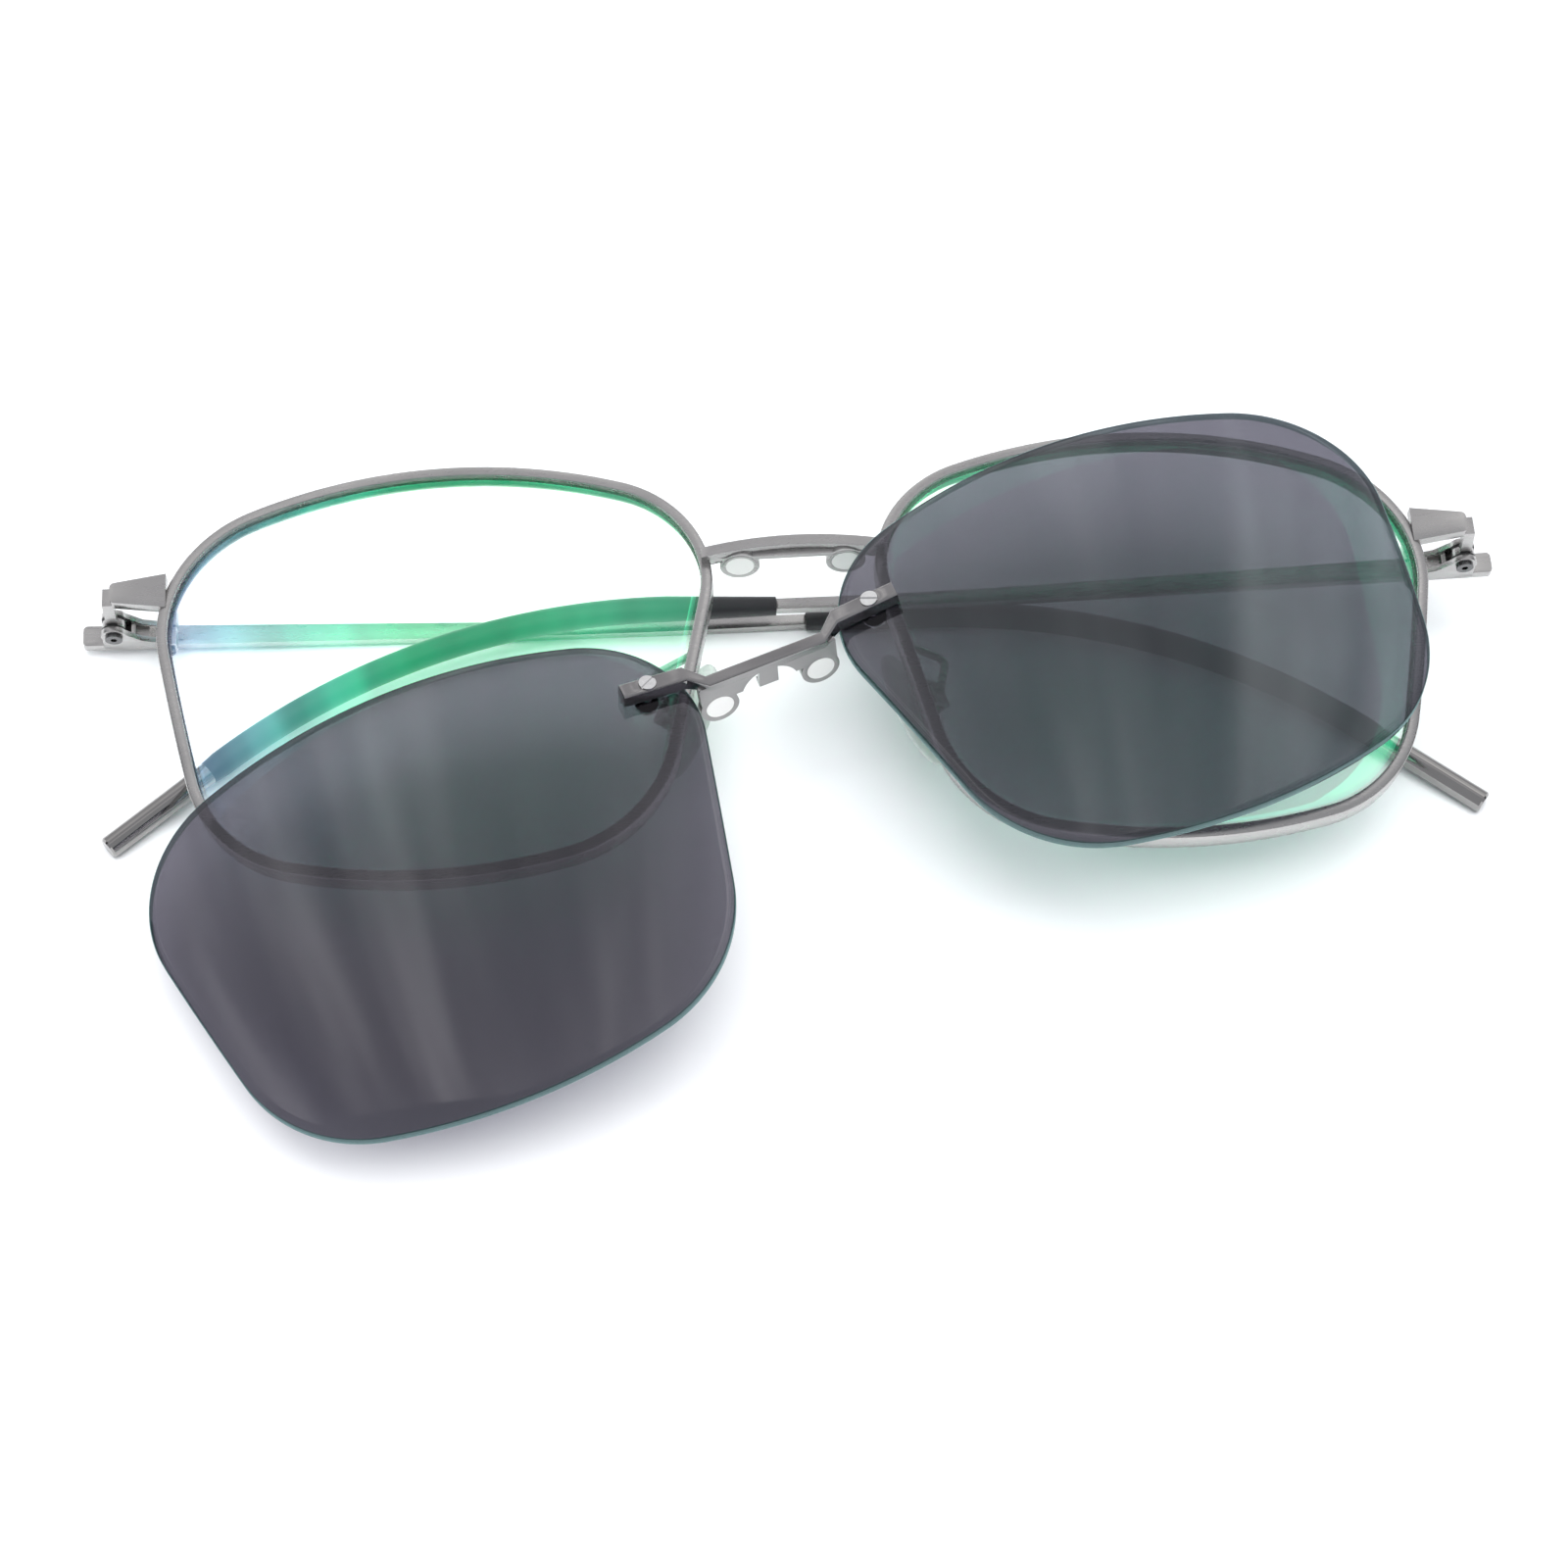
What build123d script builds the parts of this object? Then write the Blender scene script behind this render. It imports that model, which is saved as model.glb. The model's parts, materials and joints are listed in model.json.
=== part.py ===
"""Metal spectacle frame with a rimless magnetic clip-on lying askew on its folded front.

The front is drawn in its own axes: X across, Y up the lenses, Z out of the lenses, with the
origin midway between the two lens centres. Right-hand pieces are drawn and left-hand ones are
their mirror images. The clip-on is drawn where it seats on the bridge. Each piece is then put
where it lies: temples folded, the clip-on askew on the rims, and the whole lens-side up.
"""
import os
from math import cos, pi, radians, sin, sqrt, tan
from build123d import *

# ---- overall sizes, millimetres ----
lens_width = 52.0
lens_height = 42.4
bridge_gap = 18.8             # between the two lenses
temple_straight = 80.0        # hinge pin to the start of the ear bend
ear_radius = 70.0
ear_angle = 39.0
cap_length = 13.6

# ---- lenses and rims ----
base_radius = 125.0           # front curve of every lens
wrap_angle = 2.5              # each lens turned back at its outer edge
lens_thickness = 1.8
bevel_height = 0.25
bevel_width = 0.8
groove_clearance = 0.05
rim_wall = 0.9                # rim outside the lens outline
rim_lip = 0.2                 # rim inside the lens outline
rim_proud = 0.3               # rim in front of and behind the lens edge
rim_kerf = 0.15
top_ear_round = 12.2
top_nose_round = 10.7
bottom_nose_round = 14.0
bottom_ear_round = 13.0

# ---- bridge and its magnets ----
bar_above_lens = 1.297815       # bar front above the lens front at the nose
bar_thickness = 1.9
bar_height = 1.1
bar_bottom = 11.5             # at the middle of the bridge
bar_arch_radius = 43.0
shelf_tilt = 7.0
shelf_thickness = 1.0
shelf_seat_y = 10.7           # underside of the shelf at the magnets
magnet_pitch = 10.4
magnet_behind_bar = 2.4         # magnet centres behind the bar front
magnet_radius = 1.4
magnet_thickness = 0.9
magnet_fit = 0.02
lobe_radius = 1.95
bezel_wall = 0.28
bezel_proud = 0.06
arch_radius = 2.9
arch_web = 0.5                # shelf left between the bar and the arch

# ---- end pieces, rim locks and hinges ----
end_plate_reach = 4.6         # beyond the rim
end_plate_height = 3.7
end_plate_tip_height = 2.1
end_plate_y = 11.8
end_plate_above_lens = 0.496145 # plate front above the lens front at the ear
end_plate_thickness = 1.2
hinge_reach = 4.9             # pin beyond the rim
hinge_y = 10.6
hinge_behind_plate = 4.7        # pin behind the plate front
pin_radius = 0.5
pin_clearance = 0.03
eye_radius = 1.15
tongue_thickness = 0.8
tongue_root_height = 1.9
tongue_width = 1.1
washer_thickness = 0.2
washer_play = 0.03
ear_thickness = 0.55
pin_head_radius = 0.85
pin_head_thickness = 0.35
socket_radius = 0.35
lock_height = 4.0
lock_width = 1.7
lock_depth = 2.0
lock_y = 9.0
lock_screw_radius = 0.4

# ---- temples ----
bar_to_pin = 2.0              # pin axis to the temple's inner face
temple_thickness = 1.0
temple_height = 2.2
temple_end_height = 1.15
temple_front_reach = 3.2      # in front of the pin: the stop plate
clevis_length = 5.4
window_length = 1.3
window_height = 1.1
temple_bow_start = 40.0
temple_bow_radius = 370.0
core_radius = 0.5
sleeve_lead = 11.0              # sleeve begins this far before the bend
sleeve_radius = 0.95
sleeve_ear_radius = 1.3
sleeve_wall_fit = 0.02
sleeve_end_radius = 1.15
cap_radius = 1.13
cap_joint = 1.4              # sleeve runs on past the bend
cap_bore = 4.0
sleeve_mouth = 1.2
left_fold_open = 4.6          # the left temple lies outside the right one
right_fold_open = 1.5

# ---- nose pads ----
pad_x = 10.9
pad_y = -3.8
pad_z = -7.6
pad_splay = 19.0
pad_turn = 35.0
pad_width = 6.6
pad_length = 12.8
pad_thickness = 1.7
pad_edge_round = 0.7
pad_stem_width = 1.5
pad_stem_reach = 1.7
pad_pivot_depth = 2.05
pad_screw_radius = 0.35
box_play = 0.15
box_wall = 0.45
box_half_height = 1.3
pad_wire_radius = 0.42
pad_root_y = 1.5

# ---- clip-on ----
clip_margin = 1.2             # clip lens outside the frame lens outline
clip_lens_thickness = 1.0
clip_lens_front = 1.9
clip_drop = 0.45
clip_gap = 0.12               # between the two shelves when seated
clip_shelf_thickness = 0.9
clip_shelf_half_width = 7.0
ridge_clearance = 0.4           # ridge in front of the bar
ridge_thickness = 1.2
ridge_bottom = 9.9
ridge_top = 11.2
end_bar_start = 7.9
end_bar_end = 14.2
end_bar_bottom = 11.0
end_bar_top = 12.7
end_bar_thickness = 1.7
step_start = 5.9
end_bar_gap = 0.04
seat_gap = 0.08               # flat washer behind a curved lens
clip_screw_x = 11.6
clip_screw_radius = 0.6
clip_screw_head_radius = 0.83
clip_screw_head = 0.25
clip_nut_radius = 1.15
clip_nut_thickness = 0.5
clip_washer_thickness = 0.15
hook_width = 1.9
hook_thickness = 0.6
hook_reach = 3.9
hook_rise = 1.1

# ---- how it lies ----
front_pitch = 8.03
front_roll = 3.07
clip_turn = 19.3
clip_tilt = -5.1
clip_side_tilt = -2.4
clip_x = 0.05
clip_y = -13.1
clip_z = 5.52

lens_centre = (lens_width + bridge_gap) / 2
sleeve_start = temple_straight - sleeve_lead
bow_angle = (sleeve_start - temple_bow_start) / temple_bow_radius * 180 / pi
ear_start = (temple_straight - sleeve_start) / cos(radians(bow_angle))
clip_seat_y = shelf_seat_y - (clip_gap + clip_shelf_thickness) / cos(radians(shelf_tilt))
end_bar_y = (end_bar_bottom + end_bar_top) / 2
rim_edge = lens_centre + lens_width / 2 + rim_wall
end_plate_tip = rim_edge + end_plate_reach
hinge_x = rim_edge + hinge_reach
magnet_x = magnet_pitch / 2


def corner(across, up):
    """A point of the lens outline, from shares of the lens width and height."""
    return (across * lens_width, up * lens_height)


def lens_outline(grow):
    """Pillow outline of the right lens: four bowed sides, four rounded corners, grown outwards."""
    top_ear = corner(0.532, 0.349)
    top_nose = corner(-0.541, 0.373)
    bottom_nose = corner(-0.397, -0.387)
    bottom_ear = corner(0.410, -0.377)
    rounds = ((top_ear, top_ear_round), (top_nose, top_nose_round),
              (bottom_nose, bottom_nose_round), (bottom_ear, bottom_ear_round))
    with BuildSketch() as outline:
        with BuildLine():
            ThreePointArc(top_ear, corner(0, 0.514), top_nose)
            ThreePointArc(top_nose, corner(-0.473, 0), bottom_nose)
            ThreePointArc(bottom_nose, corner(0, -0.488), bottom_ear)
            ThreePointArc(bottom_ear, corner(0.480, 0), top_ear)
        make_face()
        for place, radius in rounds:
            fillet(outline.vertices().sort_by_distance(Vector(*place))[0], radius)
        if grow:
            offset(amount=grow)
    with BuildSketch() as arcs:
        with BuildLine():
            for edge in outline.edges():
                ThreePointArc(edge @ 0, edge @ 0.5, edge @ 1)
        make_face()
    return arcs.sketch


def curved_slab(grow, front, back):
    """The outline cut through a spherical shell, from front down to back below the lens curve."""
    with BuildPart() as slab:
        add(lens_outline(grow))
        extrude(amount=base_radius / 6, both=True)
        with Locations((0, 0, -base_radius)):
            Sphere(base_radius + front, rotation=(90, 0, 0), mode=Mode.INTERSECT)
            Sphere(base_radius + back, rotation=(90, 0, 0), mode=Mode.SUBTRACT)
    return slab.part


def at_lens(shape, y=0.0, z=0.0):
    """Put a piece drawn about the lens centre in its place on the right of the front."""
    return Location((lens_centre, y, z), (0, wrap_angle, 0)) * shape


def lens_surface(x, y):
    """Depth of the frame's lens front at a place on the front."""
    across = x - lens_centre
    return -(across ** 2 + y ** 2) / (2 * base_radius) - across * tan(radians(wrap_angle))


bar_front = lens_surface(bridge_gap / 2, bar_bottom) + bar_above_lens
magnet_back = bar_front - magnet_behind_bar
ridge_back = bar_front + ridge_clearance
ridge_front = ridge_back + ridge_thickness
end_plate_front = lens_surface(lens_centre + lens_width / 2, end_plate_y) + end_plate_above_lens
hinge_back = end_plate_front - hinge_behind_plate


def make_lens():
    bevel_front = -(lens_thickness - bevel_width) / 2
    body = curved_slab(-bevel_height, 0, -lens_thickness)
    bevel = curved_slab(0, bevel_front, bevel_front - bevel_width)
    with BuildPart() as lens:
        add(body)
        add(bevel)
    return at_lens(lens.part)


def make_rim():
    """A grooved wire round the lens, sawn through at the closing block."""
    room = groove_clearance
    groove_front = -(lens_thickness - bevel_width) / 2 + room
    with BuildPart() as rim:
        add(curved_slab(rim_wall, rim_proud, -lens_thickness - rim_proud))
        add(curved_slab(-rim_lip, 1, -lens_thickness - 1), mode=Mode.SUBTRACT)
        add(curved_slab(room, groove_front, groove_front - bevel_width - 2 * room), mode=Mode.SUBTRACT)
        with Locations((lens_width / 2, lock_y, 0)):
            Box(lens_width / 4, rim_kerf, lens_width / 4, mode=Mode.SUBTRACT)
    return at_lens(rim.part)


def shelf_plane(seat_y):
    """Underside of a magnet shelf: X across, Y backwards from the magnets, Z up into the shelf."""
    tilt = radians(shelf_tilt)
    return Plane(origin=(0, seat_y, magnet_back), x_dir=(1, 0, 0), z_dir=(0, cos(tilt), -sin(tilt)))


def along_shelf(z):
    """Place along a shelf, backwards from the magnets, of a given depth of the front."""
    return (magnet_back - z) / cos(radians(shelf_tilt))


def shelf_plan(half_width, front_z):
    """A strip with a round lobe under each magnet and an arch between the lobes."""
    front = along_shelf(front_z)
    back = -lobe_radius / 2
    with BuildSketch() as plan:
        with Locations((0, (front + back) / 2)):
            Rectangle(2 * half_width, back - front)
        with Locations((-magnet_x, 0), (magnet_x, 0)):
            Circle(lobe_radius)
        with Locations((0, arch_radius + front + arch_web)):
            Circle(arch_radius, mode=Mode.SUBTRACT)
    return plan.sketch


def make_bridge():
    """Arched bar between the rims, with a shelf behind it that holds the two magnets."""
    half_span = bridge_gap / 2 - rim_wall / 2
    end_drop = bar_arch_radius - sqrt(bar_arch_radius ** 2 - half_span ** 2)
    with BuildPart() as bridge:
        with BuildSketch(Plane.XY.offset(bar_front)):
            with BuildLine():
                low = ThreePointArc((-half_span, bar_bottom - end_drop), (0, bar_bottom),
                                    (half_span, bar_bottom - end_drop))
                high = ThreePointArc((-half_span, bar_bottom + bar_height - end_drop),
                                     (0, bar_bottom + bar_height),
                                     (half_span, bar_bottom + bar_height - end_drop))
                Line(low @ 0, high @ 0)
                Line(low @ 1, high @ 1)
            make_face()
        extrude(amount=-bar_thickness)
        with BuildSketch(shelf_plane(shelf_seat_y)):
            add(shelf_plan(half_span - 0.1, bar_front - bar_thickness / 2))
        extrude(amount=shelf_thickness)
        with BuildSketch(shelf_plane(shelf_seat_y)):
            with Locations((-magnet_x, 0), (magnet_x, 0)):
                Circle(magnet_radius + bezel_wall)
        extrude(amount=-bezel_proud)
        with BuildSketch(shelf_plane(shelf_seat_y).offset(-bezel_proud)):
            with Locations((-magnet_x, 0), (magnet_x, 0)):
                Circle(magnet_radius + magnet_fit)
        extrude(amount=magnet_thickness + bezel_proud, mode=Mode.SUBTRACT)
    return bridge.part


def make_magnet(seat_y, side, proud=0.0):
    """Disc magnet in a shelf, its face flush with the underside or with a bezel that is proud."""
    with BuildPart() as magnet:
        with BuildSketch(shelf_plane(seat_y).offset(-proud)):
            with Locations((side * magnet_x, 0)):
                Circle(magnet_radius)
        extrude(amount=magnet_thickness)
    return magnet.part


def make_end_piece():
    """Tapering plate off the rim that turns back into a tongue with an eye for the hinge pin."""
    plate_root = rim_edge - rim_wall
    plate_back = end_plate_front - end_plate_thickness
    tongue_x = hinge_x - tongue_width / 2
    with BuildPart() as end_piece:
        with BuildSketch(Plane.XY.offset(end_plate_front)):
            with BuildLine():
                Polyline((plate_root, end_plate_y - end_plate_height / 2),
                         (end_plate_tip, end_plate_y - end_plate_tip_height / 2),
                         (end_plate_tip, end_plate_y + end_plate_tip_height / 2),
                         (plate_root, end_plate_y + end_plate_height / 2), close=True)
            make_face()
        extrude(amount=-end_plate_thickness)
        tip_edges = end_piece.edges().filter_by(Axis.Z).group_by(Axis.X)[-1]
        fillet(tip_edges, end_plate_tip_height / 4)
        with BuildSketch(Plane.YZ.offset(tongue_x)) as tongue:
            with BuildLine():
                Polyline((end_plate_y - tongue_root_height / 2, plate_back + 0.3),
                         (end_plate_y + tongue_root_height / 2, plate_back + 0.3),
                         (hinge_y + tongue_thickness / 2, hinge_back + eye_radius + 0.5),
                         (hinge_y + tongue_thickness / 2, hinge_back),
                         (hinge_y - tongue_thickness / 2, hinge_back),
                         (hinge_y - tongue_thickness / 2, hinge_back + eye_radius + 0.5), close=True)
            make_face()
        extrude(amount=tongue_width)
        with BuildSketch(Plane.XZ.offset(-hinge_y - tongue_thickness / 2)):
            with Locations((hinge_x, hinge_back)):
                Circle(eye_radius)
        extrude(amount=tongue_thickness)
        with BuildSketch(Plane.XZ.offset(-hinge_y - temple_height)):
            with Locations((hinge_x, hinge_back)):
                Circle(pin_radius + pin_clearance)
        extrude(amount=2 * temple_height, mode=Mode.SUBTRACT)
    return end_piece.part


def lock_place():
    """Centre of the closing block, behind the rim where it is sawn through."""
    across = rim_edge - rim_wall / 2 - 0.35
    back = lens_surface(across, lock_y) - lens_thickness - rim_proud
    return (across, lock_y, back - lock_depth / 2 + 0.2)


def make_rim_lock():
    """Two blocks brazed behind the rim, one each side of the saw cut, drawn up by a screw."""
    centre = lock_place()
    with BuildPart() as lock:
        with Locations(centre):
            Box(lock_width, lock_height, lock_depth)
        fillet(lock.edges().filter_by(Axis.Y).group_by(Axis.Z)[0], lock_width / 3)
        with BuildSketch(Plane.XZ.offset(-lock_y - lock_height / 2)):
            with Locations((centre[0], centre[2] - 0.2)):
                Circle(lock_screw_radius + pin_clearance)
        extrude(amount=lock_height, mode=Mode.SUBTRACT)
        with Locations(centre):
            Box(2 * lock_width, rim_kerf, 2 * lock_depth, mode=Mode.SUBTRACT)
    return lock.part


def make_rim_screw():
    centre = lock_place()
    with BuildPart() as screw:
        with BuildSketch(Plane.XZ.offset(-lock_y - lock_height / 2 + 0.3)):
            with Locations((centre[0], centre[2] - 0.2)):
                Circle(lock_screw_radius)
        extrude(amount=lock_height - 0.1)
        with BuildSketch(Plane.XZ.offset(-lock_y + lock_height / 2 + 0.02)):
            with Locations((centre[0], centre[2] - 0.2)):
                Circle(1.6 * lock_screw_radius)
        extrude(amount=0.35)
        with BuildSketch(Plane.XZ.offset(-lock_y + lock_height / 2 + 0.22)):
            with Locations((centre[0], centre[2] - 0.2)):
                Rectangle(4 * lock_screw_radius, 0.2)
        extrude(amount=0.3, mode=Mode.SUBTRACT)
    return screw.part


def make_temple():
    """Bar with the hinge's two ears, and the core wire that runs on inside the sleeve."""
    outer = -bar_to_pin - temple_thickness
    run = sleeve_start - temple_bow_start
    ear_face = tongue_thickness / 2 + washer_thickness + 2 * washer_play
    with BuildPart() as temple:
        with BuildSketch(Plane.XZ):
            with BuildLine():
                Line((-temple_front_reach, outer), (temple_bow_start, outer))
                low = CenterArc((temple_bow_start, outer + temple_bow_radius), temple_bow_radius,
                                -90, bow_angle)
                high = CenterArc((temple_bow_start, outer + temple_bow_radius),
                                 temple_bow_radius - temple_thickness, -90, bow_angle)
                Line(low @ 1, high @ 1)
                Line(high @ 0, (-temple_front_reach, -bar_to_pin))
                Line((-temple_front_reach, -bar_to_pin), (-temple_front_reach, outer))
            make_face()
        extrude(amount=temple_height, both=True)
        with BuildSketch(Plane.XY):
            with BuildLine():
                Polyline((-temple_front_reach, -temple_height / 2), (0, -temple_height / 2),
                         (sleeve_start + 1, -temple_end_height / 2),
                         (sleeve_start + 1, temple_end_height / 2), (0, temple_height / 2),
                         (-temple_front_reach, temple_height / 2), close=True)
            make_face()
        extrude(amount=2 * run, both=True, mode=Mode.INTERSECT)
        front_corners = temple.edges().filter_by(Axis.Z).group_by(Axis.X)[0]
        fillet(front_corners, temple_height / 5)
        for side in (-1, 1):
            with BuildSketch(Plane.XZ.offset(-side * (ear_face + ear_thickness / 2))):
                with BuildLine():
                    Polyline((-eye_radius, 0), (-eye_radius, outer + temple_thickness / 2),
                             (clevis_length, outer + temple_thickness / 2),
                             (clevis_length, -bar_to_pin + 0.4), (clevis_length / 2, -0.9),
                             (0.5, eye_radius - 0.1), close=True)
                make_face()
                Circle(eye_radius + 0.1)
            extrude(amount=ear_thickness / 2, both=True)
        with BuildSketch(Plane.XZ):
            with BuildLine():
                Polyline((eye_radius + 0.5, -bar_to_pin - 0.3), (clevis_length, -bar_to_pin - 0.3),
                         (clevis_length, -bar_to_pin + 0.4), (clevis_length / 2, -1.0),
                         (eye_radius + 0.5, -0.5), close=True)
            make_face()
        extrude(amount=ear_face + 0.1, both=True)
        with Locations((clevis_length / 2, 0, 0)):
            Box(window_length, window_height, 2 * bar_to_pin - 0.6, mode=Mode.SUBTRACT)
        with Locations((clevis_length + 0.9, 0, -bar_to_pin)):
            Box(0.6, window_height, 0.7)
        with BuildSketch(Plane.XZ.offset(temple_height)):
            Circle(pin_radius + pin_clearance)
        extrude(amount=-2 * temple_height, mode=Mode.SUBTRACT)
        add(along_ear(make_ear_rod(core_radius, core_radius, core_radius, -1.0, cap_bore)))
    return temple.part


def along_ear(shape):
    """Put a piece drawn along the ear section at the end of the bowed bar."""
    turn = radians(bow_angle)
    middle_radius = temple_bow_radius - temple_thickness / 2
    x = temple_bow_start + middle_radius * sin(turn)
    z = -bar_to_pin - temple_thickness / 2 + middle_radius * (1 - cos(turn))
    return Location((x, 0, z), (0, -bow_angle, 0)) * shape


def after_bend():
    """Plane square to the temple where the ear bend ends, X inwards and Z on along the temple."""
    turn = radians(ear_angle)
    end = (ear_start + ear_radius * sin(turn), -ear_radius * (1 - cos(turn)), 0)
    return Plane(origin=end, x_dir=(0, 0, 1), z_dir=(cos(turn), -sin(turn), 0))


def make_ear_rod(first, middle, last, before, beyond):
    """Round rod down the ear section: tapered, then bent, then tapered beyond the bend."""
    with BuildPart() as rod:
        with BuildSketch(Plane.YZ.offset(before)):
            Circle(first)
        with BuildSketch(Plane.YZ.offset(ear_start)):
            Circle(middle)
        loft()
        with BuildSketch(Plane.YZ.offset(ear_start)):
            Circle(middle)
        revolve(axis=Axis((ear_start, -ear_radius, 0), (0, 0, -1)), revolution_arc=ear_angle)
        with BuildSketch(after_bend()):
            Circle(middle)
        with BuildSketch(after_bend().offset(beyond)):
            Circle(last)
        loft()
    return rod.part


def make_sleeve():
    bore = core_radius + sleeve_wall_fit
    with BuildPart() as sleeve:
        add(make_ear_rod(sleeve_radius, sleeve_ear_radius, sleeve_end_radius, 0, cap_joint))
        add(make_ear_rod(bore, bore, bore, -1.0, cap_joint + 1.0), mode=Mode.SUBTRACT)
        with BuildSketch(Plane.YZ):
            Rectangle(temple_end_height + 0.06, temple_thickness + 0.06)
        extrude(amount=sleeve_mouth, mode=Mode.SUBTRACT)
    return along_ear(sleeve.part)


def make_cap():
    with BuildPart() as cap:
        with BuildSketch(after_bend().offset(cap_joint)):
            Circle(cap_radius)
        extrude(amount=cap_length - cap_joint)
        chamfer(cap.edges().sort_by(Axis.X)[-1], 0.2)
        with BuildSketch(after_bend().offset(cap_joint)):
            Circle(core_radius + sleeve_wall_fit)
        extrude(amount=cap_bore, mode=Mode.SUBTRACT)
    return along_ear(cap.part)


def make_hinge_screw():
    """Screw through both ears: socket head under the lower ear, thread in the upper one."""
    ear_outside = tongue_thickness / 2 + washer_thickness + 2 * washer_play + ear_thickness
    with BuildPart() as screw:
        with BuildSketch(Plane.XZ.offset(ear_outside + 0.02)):
            Circle(pin_radius)
        extrude(amount=-2 * ear_outside - 0.02)
        with BuildSketch(Plane.XZ.offset(ear_outside + 0.02)):
            Circle(pin_head_radius)
        extrude(amount=pin_head_thickness)
        with BuildSketch(Plane.XZ.offset(ear_outside + 0.02 + pin_head_thickness)):
            RegularPolygon(socket_radius, 6)
        extrude(amount=-pin_head_thickness, mode=Mode.SUBTRACT)
    return screw.part


def make_hinge_washers():
    """Two thin plastic washers, one each side of the end piece's eye."""
    start = tongue_thickness / 2 + washer_play
    with BuildPart() as washers:
        for side in (-1, 1):
            with BuildSketch(Plane.XZ.offset(side * (start + washer_thickness / 2))):
                Circle(eye_radius + 0.05)
                Circle(pin_radius + pin_clearance, mode=Mode.SUBTRACT)
            extrude(amount=washer_thickness / 2, both=True)
    return washers.part


def pad_frame():
    """X along the pad's pivot, Y up the pad, Z out of its face towards the nose."""
    splay = radians(pad_splay)
    turn = radians(pad_turn)
    face = (-cos(splay) * cos(turn), -sin(splay) * cos(turn), -sin(turn))
    up = Vector(-sin(splay), cos(splay), 0)
    return Plane(origin=(pad_x, pad_y, pad_z), x_dir=up.cross(Vector(*face)), z_dir=face)


def make_pad():
    """Soft oval pad with a stem on its back for the pivot screw."""
    frame = pad_frame()
    with BuildPart() as pad:
        with BuildSketch(frame.offset(-pad_thickness / 2)):
            Ellipse(pad_width / 2, pad_length / 2)
        extrude(amount=pad_thickness)
        fillet(pad.edges(), pad_edge_round)
        with BuildSketch(frame.offset(-pad_thickness / 2 + 0.1)):
            Rectangle(pad_stem_width, pad_stem_width + 0.1)
        extrude(amount=-pad_stem_reach - 0.1)
        pivot = Plane(origin=frame.from_local_coords((0, 0, -pad_pivot_depth)),
                      x_dir=frame.y_dir, z_dir=frame.x_dir)
        with BuildSketch(pivot.offset(-pad_width)):
            Circle(pad_screw_radius + pin_clearance)
        extrude(amount=2 * pad_width, mode=Mode.SUBTRACT)
    return pad.part


def make_pad_screw():
    frame = pad_frame()
    reach = pad_stem_width / 2 + box_play + box_wall
    pivot = Plane(origin=frame.from_local_coords((0, 0, -pad_pivot_depth)),
                  x_dir=frame.y_dir, z_dir=frame.x_dir)
    with BuildPart() as screw:
        with BuildSketch(pivot.offset(-reach)):
            Circle(pad_screw_radius)
        extrude(amount=2 * reach + 0.02)
        with BuildSketch(pivot.offset(reach + 0.02)):
            Circle(1.7 * pad_screw_radius)
        extrude(amount=0.25)
    return screw.part


def make_pad_arm():
    """Bent wire from the back of the rim to a small box that carries the pad."""
    frame = pad_frame()
    inside = pad_stem_width / 2 + box_play
    floor = -pad_thickness / 2 - pad_stem_reach - box_play
    with BuildPart() as arm:
        for side in (-1, 1):
            with BuildSketch(frame.offset(floor)):
                with Locations((side * (inside + box_wall / 2), 0)):
                    Rectangle(box_wall, 2 * box_half_height)
            extrude(amount=pad_stem_reach - box_play)
        with BuildSketch(frame.offset(floor)):
            Rectangle(2 * (inside + box_wall), 2 * box_half_height)
        extrude(amount=-box_wall)
        pivot = Plane(origin=frame.from_local_coords((0, 0, -pad_pivot_depth)),
                      x_dir=frame.y_dir, z_dir=frame.x_dir)
        with BuildSketch(pivot.offset(-pad_width)):
            Circle(pad_screw_radius + pin_clearance / 2)
        extrude(amount=2 * pad_width, mode=Mode.SUBTRACT)
        root_x = lens_centre - lens_width / 2 + 0.45
        root_z = lens_surface(root_x, pad_root_y) - lens_thickness - rim_proud
        foot = frame.from_local_coords((0, 0, floor - box_wall - pad_wire_radius / 3))
        with BuildLine():
            wire = FilletPolyline((root_x, pad_root_y, root_z + 0.5),
                                  (root_x + 0.7, pad_root_y + 1.2, root_z - 2.7),
                                  (foot.X + 0.9, foot.Y + 3.6, foot.Z - 0.5), tuple(foot),
                                  radius=1.2)
        with BuildSketch(Plane(origin=wire @ 0, z_dir=wire % 0)):
            Circle(pad_wire_radius)
        sweep()
    return arm.part


def end_bar_plane():
    """Plane on the clip lens's front at the screw, X outwards along the end bar, Z forwards."""
    across = clip_screw_x - lens_centre
    up = end_bar_y + clip_drop
    slope_x = across / base_radius + tan(radians(wrap_angle))
    slope_y = up / base_radius
    z = clip_lens_front + lens_surface(clip_screw_x, up)
    return Plane(origin=(clip_screw_x, end_bar_y, z + end_bar_gap), x_dir=(1, 0, -slope_x),
                 z_dir=(slope_x, slope_y, 1))


def make_clip_lens():
    body = at_lens(curved_slab(clip_margin, 0, -clip_lens_thickness), -clip_drop, clip_lens_front)
    with BuildPart() as lens:
        add(body)
        with BuildSketch(end_bar_plane().offset(2)):
            Circle(clip_screw_radius + pin_clearance)
        extrude(amount=-6, mode=Mode.SUBTRACT)
    return lens.part


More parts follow.
